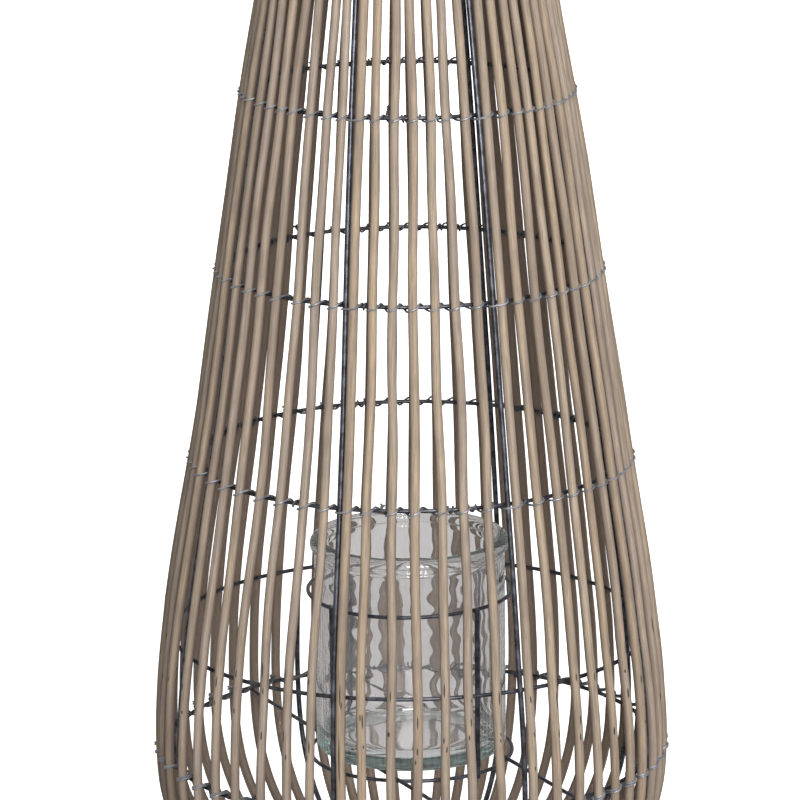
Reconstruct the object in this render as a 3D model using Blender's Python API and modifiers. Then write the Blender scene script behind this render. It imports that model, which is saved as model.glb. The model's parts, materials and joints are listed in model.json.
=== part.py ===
"""Tall pear-shaped cane lantern on a steel wire frame, with a lift-out glass insert.

Units are metres and +Z is up. The origin is the middle of the foot, on the surface that it
stands on. The front faces -Y, and an azimuth turns from the front towards +X.
The carrying bail is folded down against the back of the neck.
"""

import math

import bmesh
import bpy
from mathutils import Matrix, Vector

# --- Canes: height and radius of a cane's centre line, from the mouth to the foot ----------------
CANE_LINE = (
    (0.6985, 0.0735),
    (0.6300, 0.0762),
    (0.5900, 0.0818),
    (0.4980, 0.0979),
    (0.3150, 0.1259),
    (0.1900, 0.1461),
    (0.1390, 0.1520),
    (0.1000, 0.1531),
    (0.0740, 0.1507),
    (0.0510, 0.1440),
    (0.0300, 0.1315),
    (0.0055, 0.1043),
)
CANE_RADIUS = 0.0028
CANE_GROUPS = "abc"
STRAND_RADIUS = 0.0007
STRAND_HEIGHTS = (0.3976, 0.1002)

# --- Panels: azimuth of each upright, how it leans, and the azimuths of the canes after it -------
# The canes and uprights are spaced by hand, so no two panels are the same. An upright has its
# azimuth at LEAN_HEIGHT, and leans by some degrees for each metre above it.
PANELS = (
    (-66.5, -2.0, (-63.1, -56.2, -49.6, -42.8, -35.5, -28.6, -23.0)),
    (-19.0, -6.5, (-16.7, -11.2, -4.8, 1.0, 7.4, 13.2, 19.7)),
    (25.2, -1.5, (27.4, 33.6, 39.9, 45.7, 51.6, 57.8, 64.2)),
    (67.7, 0.0, (70.1, 76.9, 83.8, 90.6, 97.4, 104.3, 111.1)),
    (116.4, 0.0, (118.8, 124.8, 131.2, 136.9, 142.9, 149.3, 154.8)),
    (157.2, 0.0, (160.3, 166.8, 172.7, 179.0, 184.9, 191.3, 197.5, 203.4)),
    (208.3, 0.0, (213.9, 220.5, 227.1, 233.7, 240.4, 247.3, 254.2)),
    (256.8, 0.0, (259.3, 265.0, 270.8, 276.5, 282.3, 288.2)),
)
LEAN_HEIGHT = 0.35

# --- Frame ---------------------------------------------------------------------------------------
CLEARANCE = 0.00035
UPRIGHT_RADIUS = 0.0016
# The upper part of the cage stands a little to the right of the belly.
OFFSET_X = 0.0018
OFFSET_HEIGHTS = (0.1900, 0.3150)
HOOP_WIRE_RADIUS = 0.00125
HOOP_HEIGHTS = {
    "mouth_hoop": 0.6920,
    "neck_hoop": 0.6070,
    "upper_hoop": 0.5045,
    "middle_hoop": 0.3976,
    "lower_hoop": 0.2814,
    "belly_hoop": 0.1731,
    "widest_hoop": 0.1002,
}
HOOP_SEGMENTS = 32
FOOT_THICKNESS = 0.0025
FOOT_INNER_RADIUS = 0.0960
FOOT_OUTER_RADIUS = 0.1080

# --- Binding wire: one ring round the outside of the canes in each tied row ----------------------
BINDING_WIRE_RADIUS = 0.0005
BINDING_HEIGHTS = {
    "mouth_binding": 0.6920,
    "neck_binding": 0.6070,
    "upper_binding": 0.5045,
    "middle_binding": 0.3976,
    "lower_binding": 0.2814,
    "widest_binding": 0.1002,
}
FOOT_BINDING_HEIGHT = 0.0075

# --- Glass holder: two hoops joined by posts, hung under two cross wires -------------------------
HOLDER_WIRE_RADIUS = 0.0012
HOLDER_UPPER_RADIUS = 0.0618
HOLDER_LOWER_RADIUS = 0.0614
HOLDER_UPPER_HEIGHT = 0.1973
HOLDER_SEGMENTS = 24
POST_AZIMUTHS = (-46.3, 37.8, 133.7, -142.2)
CROSS_WIRE_AZIMUTH = 27.3
CROSS_WIRE_OFFSET = 0.0380
CROSS_WIRE_HALF_LENGTH = 0.1445

# --- Glass insert --------------------------------------------------------------------------------
GLASS_HEIGHT = 0.1325
GLASS_RADIUS = 0.0578
GLASS_WALL = 0.0042
GLASS_FLOOR = 0.0060
GLASS_RIM_RADIUS = 0.0605
GLASS_RIM_HEIGHT = 0.0095
GLASS_RIM_ROOT = 0.0124
GLASS_CORNER = 0.0060
GLASS_INNER_CORNER = 0.0100
GLASS_STEPS = 32

# --- Carrying bail and its two eyelets -----------------------------------------------------------
BAIL_WIRE_RADIUS = 0.0015
BAIL_PIVOT_HEIGHT = 0.7050
BAIL_HALF_WIDTH = 0.0820
BAIL_REACH = 0.0950
BAIL_PIN_END = 0.0655
BAIL_BEND = 0.0120
BAIL_PIN_BEND = 0.0040
BAIL_FOLD_DEGREES = 122.0
EYELET_WIRE_RADIUS = 0.0011
EYELET_SLACK = 0.00035

COLLECTION_NAME = "cane_lantern"


def material(name, colour, roughness, metallic=0.0, transmission=0.0):
    """A Principled material with the plain colour of one kind of piece."""
    made = bpy.data.materials.new(name)
    made.use_nodes = True
    shader = made.node_tree.nodes["Principled BSDF"]
    shader.inputs["Base Color"].default_value = (*colour, 1.0)
    shader.inputs["Roughness"].default_value = roughness
    shader.inputs["Metallic"].default_value = metallic
    shader.inputs["Transmission Weight"].default_value = transmission
    return made


def clear_scene():
    """Remove the objects of the open scene."""
    for old in list(bpy.data.objects):
        bpy.data.objects.remove(old, do_unlink=True)


def new_object(name, data, collection):
    """Link a new object with this data to the collection."""
    made = bpy.data.objects.new(name, data)
    collection.objects.link(made)
    return made


def polar(radius, azimuth_degrees, height, centre_x=0.0):
    """A point at a radius and an azimuth round a vertical axis."""
    angle = math.radians(azimuth_degrees)
    return Vector((centre_x + radius * math.sin(angle), -radius * math.cos(angle), height))


def cage_centre_x(height):
    """X of the cage's middle at a height."""
    low, high = OFFSET_HEIGHTS
    return OFFSET_X * min(1.0, max(0.0, (height - low) / (high - low)))


def cage_point(radius, azimuth_degrees, height):
    """A point at a radius and an azimuth round the cage's middle."""
    return polar(radius, azimuth_degrees, height, cage_centre_x(height))


def cane_line_radius(height):
    """Radius of the canes' centre line at a height, on its straight stretches."""
    for (high, high_radius), (low, low_radius) in zip(CANE_LINE, CANE_LINE[1:]):
        if low <= height <= high:
            share = (height - low) / (high - low)
            return low_radius + share * (high_radius - low_radius)
    raise ValueError("height is off the canes")


def hoop_radius(height):
    """Radius of a hoop that lies inside the canes."""
    return cane_line_radius(height) - CANE_RADIUS - HOOP_WIRE_RADIUS - CLEARANCE


def upright_radius(line_radius):
    """Radius of an upright's centre line, just outside the hoops."""
    return line_radius - CANE_RADIUS + UPRIGHT_RADIUS


def chord_sag(radius, segments):
    """How far the middle of a ring's straight segment lies inside its circle."""
    return radius * (1.0 - math.cos(math.pi / segments))


def wire(name, points, radius, collection, finish, closed=False, resolution=1):
    """A round wire along straight runs between points, as a bevelled curve."""
    curve = bpy.data.curves.new(name, "CURVE")
    curve.dimensions = "3D"
    curve.bevel_depth = radius
    curve.bevel_resolution = resolution
    curve.use_fill_caps = not closed
    spline = curve.splines.new("POLY")
    spline.points.add(len(points) - 1)
    for slot, point in zip(spline.points, points):
        slot.co = (*point, 1.0)
    spline.use_cyclic_u = closed
    spline.use_smooth = True
    curve.materials.append(finish)
    return new_object(name, curve, collection)


def ring(name, radius, height, wire_radius, segments, collection, finish, centre_x=0.0, resolution=1):
    """A closed wire ring round a vertical axis."""
    points = [polar(radius, 360.0 * step / segments, height, centre_x) for step in range(segments)]
    return wire(name, points, wire_radius, collection, finish, closed=True, resolution=resolution)


def turned(name, profile, steps, collection, finish, closed=False):
    """A turned piece: a profile in the XZ plane swept round Z by a Screw modifier."""
    mesh = bpy.data.meshes.new(name)
    shape = bmesh.new()
    corners = [shape.verts.new((x, 0.0, z)) for x, z in profile]
    for first, second in zip(corners, corners[1:]):
        shape.edges.new((first, second))
    if closed:
        shape.edges.new((corners[-1], corners[0]))
    shape.to_mesh(mesh)
    shape.free()
    mesh.materials.append(finish)
    made = new_object(name, mesh, collection)
    screw = made.modifiers.new("turn", "SCREW")
    screw.steps = steps
    screw.render_steps = steps
    screw.use_merge_vertices = True
    screw.merge_threshold = 0.00001
    screw.use_smooth_shade = True
    return made


def arc(centre, radius, start_degrees, end_degrees, steps):
    """Points on an arc in the XZ plane, both ends included."""
    points = []
    for step in range(steps + 1):
        angle = math.radians(start_degrees + (end_degrees - start_degrees) * step / steps)
        points.append((centre[0] + radius * math.cos(angle), centre[1] + radius * math.sin(angle)))
    return points


def rounded_path(corners, bends, steps=4):
    """A path through corner points with each inner corner rounded by its own bend radius."""
    points = [corners[0]]
    for before, corner, after, bend in zip(corners, corners[1:], corners[2:], bends):
        inward = (before - corner).normalized()
        outward = (after - corner).normalized()
        for step in range(steps + 1):
            share = step / steps
            start = corner + inward * bend
            end = corner + outward * bend
            points.append(start.lerp(corner, share).lerp(corner.lerp(end, share), share))
    points.append(corners[-1])
    return points


def as_mesh_object(piece, collection):
    """Turn a curve object into a mesh object with welded caps, and remove the curve."""
    graph = bpy.context.evaluated_depsgraph_get()
    mesh = bpy.data.meshes.new_from_object(piece.evaluated_get(graph))
    shape = bmesh.new()
    shape.from_mesh(mesh)
    bmesh.ops.remove_doubles(shape, verts=shape.verts, dist=0.000001)
    shape.to_mesh(mesh)
    shape.free()
    name = piece.name
    place = piece.matrix_world.copy()
    bpy.data.objects.remove(piece, do_unlink=True)
    made = new_object(name, mesh, collection)
    made.matrix_world = place
    return made


def union(name, pieces, collection):
    """Join touching mesh objects into one closed body, and remove the pieces."""
    base = pieces[0]
    for other in pieces[1:]:
        join = base.modifiers.new("join", "BOOLEAN")
        join.operation = "UNION"
        join.solver = "EXACT"
        join.object = other
    bpy.context.view_layer.update()
    graph = bpy.context.evaluated_depsgraph_get()
    mesh = bpy.data.meshes.new_from_object(base.evaluated_get(graph))
    for piece in pieces:
        bpy.data.objects.remove(piece, do_unlink=True)
    mesh.name = name
    mesh.set_sharp_from_angle(angle=math.radians(50.0))
    return new_object(name, mesh, collection)


def upright_azimuth(panel, height):
    """Azimuth of the upright that a panel starts with, or of the next one after the last panel."""
    turns, index = divmod(panel, len(PANELS))
    azimuth, lean, _ = PANELS[index]
    return 360.0 * turns + azimuth + lean * (height - LEAN_HEIGHT)


def cane_azimuths(panel, height):
    """Azimuths of one panel's canes at a height, kept clear of each other and of the uprights."""
    radius = cane_line_radius(height)
    beside_upright = math.degrees((CANE_RADIUS + UPRIGHT_RADIUS + CLEARANCE) / radius)
    apart = math.degrees((2.0 * CANE_RADIUS + CLEARANCE) / radius)
    azimuths = []
    least = upright_azimuth(panel, height) + beside_upright
    for azimuth in PANELS[panel][2]:
        azimuths.append(max(azimuth, least))
        least = azimuths[-1] + apart
    most = upright_azimuth(panel + 1, height) - beside_upright
    for column in reversed(range(len(azimuths))):
        azimuths[column] = min(azimuths[column], most)
        most = azimuths[column] - apart
    return azimuths


def make_cane_group(name, panel, columns, collection, finish):
    """Neighbouring canes of one panel, joined by thin strands through them into one body."""
    strands = []
    for height in STRAND_HEIGHTS:
        radius = cane_line_radius(height)
        azimuths = cane_azimuths(panel, height)
        points = [cage_point(radius, azimuths[column], height) for column in columns]
        strand = wire("strand", points, STRAND_RADIUS, collection, finish, resolution=0)
        strands.append(as_mesh_object(strand, collection))
    rows = [(height, radius, cane_azimuths(panel, height)) for height, radius in CANE_LINE]
    canes = []
    for column in columns:
        points = [cage_point(radius, azimuths[column], height) for height, radius, azimuths in rows]
        cane = wire("cane", points, CANE_RADIUS, collection, finish)
        canes.append(as_mesh_object(cane, collection))
    union(name, [strands[0], *canes, strands[1]], collection)


def make_canes(collection, finish):
    """A panel of canes between each upright and the next, each in three groups."""
    for panel, (_, _, azimuths) in enumerate(PANELS):
        for part, group in enumerate(CANE_GROUPS):
            first = len(azimuths) * part // len(CANE_GROUPS)
            after = len(azimuths) * (part + 1) // len(CANE_GROUPS)
            name = f"canes_{panel + 1}_{group}"
            make_cane_group(name, panel, range(first, after), collection, finish)


def make_uprights(collection, finish):
    """Eight steel wires from the foot to the mouth, one at the start of each panel."""
    top_trim = 0.0010
    for panel in range(len(PANELS)):
        points = [cage_point(upright_radius(radius), upright_azimuth(panel, height), height)
                  for height, radius in CANE_LINE]
        points[0].z -= top_trim
        wire(f"upright_{panel + 1}", points, UPRIGHT_RADIUS, collection, finish)


def make_hoops(collection, finish):
    """The wire hoops inside the canes, and the flat foot ring that the lantern stands on."""
    for name, height in HOOP_HEIGHTS.items():
        ring(name, hoop_radius(height), height, HOOP_WIRE_RADIUS, HOOP_SEGMENTS, collection, finish,
             centre_x=cage_centre_x(height))
    profile = [
        (FOOT_OUTER_RADIUS, FOOT_THICKNESS),
        (FOOT_OUTER_RADIUS, 0.0),
        (FOOT_INNER_RADIUS, 0.0),
        (FOOT_INNER_RADIUS, FOOT_THICKNESS),
    ]
    foot = turned("foot_ring", profile, HOOP_SEGMENTS, collection, finish, closed=True)
    foot.modifiers["turn"].use_smooth_shade = False


def make_bindings(collection, finish):
    """One ring of thin wire round the outside of the canes in each tied row."""
    def binding(name, cane_surface, height):
        radius = cane_surface + CLEARANCE + BINDING_WIRE_RADIUS
        radius += chord_sag(radius, HOOP_SEGMENTS)
        ring(name, radius, height, BINDING_WIRE_RADIUS, HOOP_SEGMENTS, collection, finish,
             centre_x=cage_centre_x(height), resolution=0)

    for name, height in BINDING_HEIGHTS.items():
        binding(name, cane_line_radius(height) + CANE_RADIUS, height)
    (high, high_radius), (low, low_radius) = CANE_LINE[-2:]
    steepness = (high - low) / math.hypot(high - low, high_radius - low_radius)
    surface = cane_line_radius(FOOT_BINDING_HEIGHT) + CANE_RADIUS / steepness
    binding("foot_binding", surface, FOOT_BINDING_HEIGHT)


def cross_wire_height():
    """Height of the cross wires, which run just under the widest hoop."""
    return HOOP_HEIGHTS["widest_hoop"] - HOOP_WIRE_RADIUS - HOLDER_WIRE_RADIUS - CLEARANCE


def make_holder(collection, finish):
    """The wire basket for the glass and the two cross wires that carry it."""
    cross_height = cross_wire_height()
    lower_height = cross_height - 2.0 * HOLDER_WIRE_RADIUS - CLEARANCE
    rings = (
        ("holder_upper_hoop", HOLDER_UPPER_RADIUS, HOLDER_UPPER_HEIGHT),
        ("holder_lower_hoop", HOLDER_LOWER_RADIUS, lower_height),
    )
    for name, radius, height in rings:
        ring(name, radius, height, HOLDER_WIRE_RADIUS, HOLDER_SEGMENTS, collection, finish)

    outside = HOLDER_WIRE_RADIUS + UPRIGHT_RADIUS + CLEARANCE
    for number, azimuth in enumerate(POST_AZIMUTHS, start=1):
        ends = [
            polar(HOLDER_LOWER_RADIUS + outside, azimuth, lower_height - UPRIGHT_RADIUS),
            polar(HOLDER_UPPER_RADIUS + outside, azimuth, HOLDER_UPPER_HEIGHT + UPRIGHT_RADIUS),
        ]
        wire(f"holder_post_{number}", ends, UPRIGHT_RADIUS, collection, finish)

    along = polar(CROSS_WIRE_HALF_LENGTH, CROSS_WIRE_AZIMUTH, 0.0)
    for number, side in enumerate((-1.0, 1.0), start=1):
        middle = polar(side * CROSS_WIRE_OFFSET, CROSS_WIRE_AZIMUTH + 90.0, cross_height)
        ends = [middle - along, middle + along]
        wire(f"cross_wire_{number}", ends, HOLDER_WIRE_RADIUS, collection, finish)


def make_glass(collection, finish):
    """The open glass pot, which stands on the cross wires inside the holder."""
    bottom = cross_wire_height() + HOLDER_WIRE_RADIUS + CLEARANCE
    top = bottom + GLASS_HEIGHT
    inner = GLASS_RADIUS - GLASS_WALL
    floor = bottom + GLASS_FLOOR
    lip = GLASS_RIM_HEIGHT / 2.0
    lip_centre = (GLASS_RIM_RADIUS - lip, top - lip)
    corner_centre = (GLASS_RADIUS - GLASS_CORNER, bottom + GLASS_CORNER)
    inner_centre = (inner - GLASS_INNER_CORNER, floor + GLASS_INNER_CORNER)
    profile = [(0.0, floor)]
    profile += arc(inner_centre, GLASS_INNER_CORNER, -90.0, 0.0, 3)
    profile += [(inner, top - GLASS_RIM_HEIGHT)]
    profile += arc(lip_centre, lip, 135.0, -60.0, 4)
    profile += [(GLASS_RADIUS, top - GLASS_RIM_ROOT)]
    profile += arc(corner_centre, GLASS_CORNER, 0.0, -90.0, 3)
    profile += [(0.0, bottom)]
    turned("glass_insert", profile, GLASS_STEPS, collection, finish)


def make_handle(collection, finish):
    """The wire bail, folded back about its two pins, and the eyelets that the pins turn in."""
    pivot = bpy.data.objects.new("bail_pivot", None)
    collection.objects.link(pivot)
    pivot.location = (cage_centre_x(BAIL_PIVOT_HEIGHT), 0.0, BAIL_PIVOT_HEIGHT)
    pivot.rotation_euler.x = -math.radians(BAIL_FOLD_DEGREES)

    half = [
        Vector((BAIL_PIN_END, 0.0, 0.0)),
        Vector((BAIL_HALF_WIDTH, 0.0, 0.0)),
        Vector((BAIL_HALF_WIDTH, 0.0, BAIL_REACH)),
    ]
    mirror = Matrix.Scale(-1.0, 4, Vector((1.0, 0.0, 0.0)))
    corners = half + [mirror @ point for point in reversed(half)]
    bends = (BAIL_PIN_BEND, BAIL_BEND, BAIL_BEND, BAIL_PIN_BEND)
    bail = wire("bail", rounded_path(corners, bends), BAIL_WIRE_RADIUS, collection, finish)
    bail.parent = pivot

    hoop_height = HOOP_HEIGHTS["mouth_hoop"]
    hoop_top = hoop_height + HOOP_WIRE_RADIUS + CLEARANCE
    half_width = BAIL_WIRE_RADIUS + EYELET_SLACK + EYELET_WIRE_RADIUS
    bottom = hoop_top + EYELET_WIRE_RADIUS + half_width
    outline = arc((0.0, BAIL_PIVOT_HEIGHT), half_width, 0.0, 180.0, 6)
    outline += arc((0.0, bottom), half_width, 180.0, 360.0, 6)
    for side, number in ((-1.0, 1), (1.0, 2)):
        x = cage_centre_x(hoop_height) + side * hoop_radius(hoop_height)
        points = [Vector((x, y, z)) for y, z in outline]
        wire(f"eyelet_{number}", points, EYELET_WIRE_RADIUS, collection, finish, closed=True)


def main():
    """Build the whole lantern."""
    clear_scene()
    collection = bpy.data.collections.new(COLLECTION_NAME)
    bpy.context.scene.collection.children.link(collection)
    cane = material("cane", (0.36, 0.27, 0.19), 0.65)
    steel = material("frame_wire", (0.07, 0.075, 0.09), 0.45, metallic=0.8)
    tie = material("binding_wire", (0.28, 0.31, 0.36), 0.40, metallic=0.9)
    glass = material("glass", (0.80, 0.88, 0.86), 0.03, transmission=1.0)
    make_canes(collection, cane)
    make_uprights(collection, steel)
    make_hoops(collection, steel)
    make_bindings(collection, tie)
    make_holder(collection, steel)
    make_glass(collection, glass)
    make_handle(collection, steel)


main()
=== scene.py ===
"""The looks of the cane lantern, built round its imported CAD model. Units are metres, +Z is up.

The front faces -Y, and an azimuth turns from the front towards +X.
"""

import json
import math

import bmesh
import bpy
import numpy as np
from mathutils import Matrix, Vector


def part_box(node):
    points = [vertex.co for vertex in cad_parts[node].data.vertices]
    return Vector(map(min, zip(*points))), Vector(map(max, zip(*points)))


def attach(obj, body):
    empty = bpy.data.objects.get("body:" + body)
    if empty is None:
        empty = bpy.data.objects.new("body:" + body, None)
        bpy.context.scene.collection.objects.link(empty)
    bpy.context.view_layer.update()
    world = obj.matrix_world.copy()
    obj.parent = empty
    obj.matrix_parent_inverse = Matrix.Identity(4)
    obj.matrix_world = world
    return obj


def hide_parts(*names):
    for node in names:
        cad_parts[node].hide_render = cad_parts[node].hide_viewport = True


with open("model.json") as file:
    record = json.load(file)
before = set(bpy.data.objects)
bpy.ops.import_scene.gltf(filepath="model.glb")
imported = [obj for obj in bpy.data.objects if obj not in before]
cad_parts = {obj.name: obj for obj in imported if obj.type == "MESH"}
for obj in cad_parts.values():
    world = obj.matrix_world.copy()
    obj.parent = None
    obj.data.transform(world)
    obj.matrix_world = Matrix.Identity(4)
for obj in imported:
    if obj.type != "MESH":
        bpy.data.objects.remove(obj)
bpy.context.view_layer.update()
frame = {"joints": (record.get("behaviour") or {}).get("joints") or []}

# --- Shape of the cage, as in the CAD model ---
# Height and radius of the canes' centre line, from the foot to the mouth.
CANE_LINE = (
    (0.0055, 0.1043),
    (0.0300, 0.1315),
    (0.0510, 0.1440),
    (0.0740, 0.1507),
    (0.1000, 0.1531),
    (0.1390, 0.1520),
    (0.1900, 0.1461),
    (0.3150, 0.1259),
    (0.4980, 0.0979),
    (0.5900, 0.0818),
    (0.6300, 0.0762),
    (0.6985, 0.0735),
)
# The azimuth of each upright, its lean in degrees a metre, and the azimuths of the canes after it.
PANELS = (
    (-66.5, -2.0, (-63.1, -56.2, -49.6, -42.8, -35.5, -28.6, -23.0)),
    (-19.0, -6.5, (-16.7, -11.2, -4.8, 1.0, 7.4, 13.2, 19.7)),
    (25.2, -1.5, (27.4, 33.6, 39.9, 45.7, 51.6, 57.8, 64.2)),
    (67.7, 0.0, (70.1, 76.9, 83.8, 90.6, 97.4, 104.3, 111.1)),
    (116.4, 0.0, (118.8, 124.8, 131.2, 136.9, 142.9, 149.3, 154.8)),
    (157.2, 0.0, (160.3, 166.8, 172.7, 179.0, 184.9, 191.3, 197.5, 203.4)),
    (208.3, 0.0, (213.9, 220.5, 227.1, 233.7, 240.4, 247.3, 254.2)),
    (256.8, 0.0, (259.3, 265.0, 270.8, 276.5, 282.3, 288.2)),
)
LEAN_HEIGHT = 0.35
OFFSET_X = 0.0018
OFFSET_HEIGHTS = (0.1900, 0.3150)
CANE_RADIUS = 0.0028
CLEARANCE = 0.00035
UPRIGHT_RADIUS = 0.0016
BAIL_RADIUS = 0.0015
HOOP_WIRE = 0.00125
HOLDER_WIRE = 0.0012
TYING_WIRE = 0.00064
TIED_ROWS = ("mouth", "neck", "upper", "middle", "lower", "widest")
# Where the ends of each row's tying wire are twisted together.
JOINT_AZIMUTH = math.radians(217.5)
POST_AZIMUTHS = (-46.3, 37.8, 133.7, -142.2)

# --- Canes' own small differences ---
# Half the width of a dark split in a cane.
SPLIT_HALF_WIDTH = 0.00042
# Each split's range of heights, greatest place across and range of half lengths. The bend of the
# belly opens them.
SPLIT_RANGES = (
    ((0.158, 0.186), 0.0012, (0.002, 0.005)),
    ((0.142, 0.166), 0.0015, (0.001, 0.004)),
    ((0.128, 0.180), 0.0018, (0.001, 0.003)),
)
# The first two splits of the first cane at the front, where it shows the longest one.
FRONT_SPLITS = [(0.177, 0.0001, 0.0070), (0.139, -0.0003, 0.0160)]
# How far a cane may sway sideways in the panels at the front and in the others.
FRONT_PANELS = 4
FRONT_SWAY = 0.0011
BACK_SWAY = 0.0005
# The canes start to bend on their own this far up from the foot, over this height.
SWAY_START = 0.004
SWAY_EASE = 0.03

# --- Tying wire ---
# Angles round a cane where the wire's curve has its points.
WRAP_ANGLES = (-85.0, -45.0, 0.0, 45.0, 85.0)
WIDEST_STRANDS = 2
STRAND_STEP = 0.0012
# Between canes this far apart the wire may take an extra turn round the hoop.
LOOP_GAP = 0.0036
LOOP_CHANCE = 0.22
TAIL_CHANCE = 0.015

# --- Glass pot ---
# How far the wall stands in from the rim, and the pot's other sizes.
GLASS_INSET = 0.0027
GLASS_WALL = 0.0040
GLASS_FLOOR = 0.0060
GLASS_LIP = 0.00475
GLASS_CORNER = 0.0035
GLASS_INNER_CORNER = 0.0100
# Height of the waves on the inner and outer face of the wall.
INNER_WAVE = 0.00017
OUTER_WAVE = 0.00007 * 0.6

# --- Fineness of the meshes ---
CANE_SIDES = 14
CANE_RINGS = 130
WIRE_SIDES = 10
TYING_SIDES = 6
HOOP_STEPS = 180
GLASS_STEPS = 200
GLASS_RINGS = 84

# --- Studio ---
LIGHT_TARGET = Vector((0.0, 0.0, 0.30))
# Name, azimuth and elevation in degrees, distance, size and power in watts.
LIGHTS = (
    ("key", 9.0, 20.0, 3.0, (1.3, 1.4), 121.0),
    ("side", 60.0, 20.0, 3.0, (1.0, 1.6), 13.0),
    ("fill", -50.0, 20.0, 3.0, (1.0, 1.6), 3.0),
    ("top", 5.0, 72.0, 2.8, (1.4, 1.4), 12.0),
    ("back", 175.0, 24.0, 3.2, (1.8, 1.6), 70.0),
)
AMBIENT = 0.125
SURROUND = 0.60
STAGE_RADIUS = 60.0
CAMERA_TARGET = Vector((-0.0047, 0.0, 0.315))
CAMERA_DISTANCE = 2.821
CAMERA_PITCH = math.radians(14.36)
CAMERA_ROLL = math.radians(-0.64)
CAMERA_LENS = 211.5
# Light needs this many reflections to find its way out of the thick base of the pot.
GLOSSY_BOUNCES = 12

SEED = 20


# --- Curves and frames ---
def hermite_slopes(xs, ys):
    """Slopes at the knots of a smooth curve through (x, y) knots that aren't evenly spaced."""
    gaps = np.diff(xs)
    secants = np.diff(ys) / gaps
    inner = (gaps[1:] * secants[:-1] + gaps[:-1] * secants[1:]) / (gaps[1:] + gaps[:-1])
    return np.concatenate([secants[:1], inner, secants[-1:]])


LINE_HEIGHTS = np.array([height for height, _ in CANE_LINE])
LINE_RADII = np.array([radius for _, radius in CANE_LINE])
LINE_SLOPES = hermite_slopes(LINE_HEIGHTS, LINE_RADII)


def line_radius(height):
    """Radius of the canes' centre line at a height, or at each of an array of heights."""
    height = np.clip(height, LINE_HEIGHTS[0], LINE_HEIGHTS[-1])
    at = np.clip(np.searchsorted(LINE_HEIGHTS, height, side="right") - 1, 0, len(LINE_HEIGHTS) - 2)
    gap = LINE_HEIGHTS[at + 1] - LINE_HEIGHTS[at]
    t = (height - LINE_HEIGHTS[at]) / gap
    rise = (2 * t**3 - 3 * t**2 + 1) * LINE_RADII[at] + (3 * t**2 - 2 * t**3) * LINE_RADII[at + 1]
    bend = (t**3 - 2 * t**2 + t) * LINE_SLOPES[at] + (t**3 - t**2) * LINE_SLOPES[at + 1]
    return rise + gap * bend


def even_heights(count):
    """Heights that divide the canes' centre line into equal lengths."""
    fine = np.linspace(LINE_HEIGHTS[0], LINE_HEIGHTS[-1], 2000)
    steps = np.hypot(np.diff(fine), np.diff(line_radius(fine)))
    length = np.concatenate([[0.0], np.cumsum(steps)])
    return np.interp(np.linspace(0.0, length[-1], count), length, fine)


def polar(radius, azimuth, height):
    """Points at radii and azimuths in radians round the lantern's axis."""
    radius, azimuth, height = np.broadcast_arrays(radius, azimuth, height)
    return np.stack([radius * np.sin(azimuth), -radius * np.cos(azimuth), height], axis=-1)


def cage_centre_x(height):
    """X of the cage's middle at a height: the upper part stands a little to the right."""
    return np.interp(height, OFFSET_HEIGHTS, (0.0, OFFSET_X))


def cage_point(radius, azimuth, height):
    """Points at radii and azimuths in radians round the cage's middle."""
    points = polar(radius, azimuth, height)
    points[..., 0] += cage_centre_x(height)
    return points


def smooth_through(points, closed, steps):
    """A Catmull-Rom curve through points, with this many steps between each pair."""
    points = np.asarray(points, float)
    if closed:
        padded = np.concatenate([points[-1:], points, points[:2]])
    else:
        padded = np.concatenate([2 * points[:1] - points[1:2], points, 2 * points[-1:] - points[-2:-1]])
    a, b, c, d = padded[:-3], padded[1:-2], padded[2:-1], padded[3:]
    rows = []
    for step in range(steps):
        t = step / steps
        rows.append(0.5 * (2 * b + (c - a) * t + (2 * a - 5 * b + 4 * c - d) * t**2
                           + (3 * b - a - 3 * c + d) * t**3))
    path = np.stack(rows, axis=1).reshape(-1, 3)
    return path if closed else np.concatenate([path, points[-1:]])


def unit(vectors):
    """Vectors scaled to length 1."""
    return vectors / np.linalg.norm(vectors, axis=-1, keepdims=True)


def carried_frames(path, closed, first_normal):
    """Normals and binormals carried along a path with as little twist as can be."""
    if closed:
        tangents = unit(np.roll(path, -1, axis=0) - np.roll(path, 1, axis=0))
    else:
        tangents = unit(np.gradient(path, axis=0))
    normals = np.empty_like(path)
    normal = np.asarray(first_normal, float)
    for index, tangent in enumerate(tangents):
        normal = normal - tangent * normal.dot(tangent)
        normal = normal / math.sqrt(normal.dot(normal))
        normals[index] = normal
    binormals = np.cross(tangents, normals)
    if closed:
        back = normals[-1] - tangents[0] * normals[-1].dot(tangents[0])
        twist = math.atan2(back.dot(binormals[0]), back.dot(normals[0]))
        angles = -twist * np.linspace(0.0, 1.0, len(path))[:, None]
        turned = normals * np.cos(angles) + binormals * np.sin(angles)
        binormals = np.cross(tangents, turned)
        normals = turned
    return tangents, normals, binormals


# --- Meshes ---
def ring_faces(rings, sides, closed):
    """Faces between rings of points, each ring joined to the next one."""
    faces = []
    for ring in range(rings if closed else rings - 1):
        after = (ring + 1) % rings
        for side in range(sides):
            beside = (side + 1) % sides
            faces.append((ring * sides + side, ring * sides + beside,
                          after * sides + beside, after * sides + side))
    return faces


# Each piece starts at another place along the grain textures, by this much over the span of tones.
GRAIN_OFFSET = 7.3
# Place along the grain, place across it and half length of three splits; these are out of reach.
NO_SPLITS = ((-9.0, 0.0, 0.001),) * 3


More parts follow.
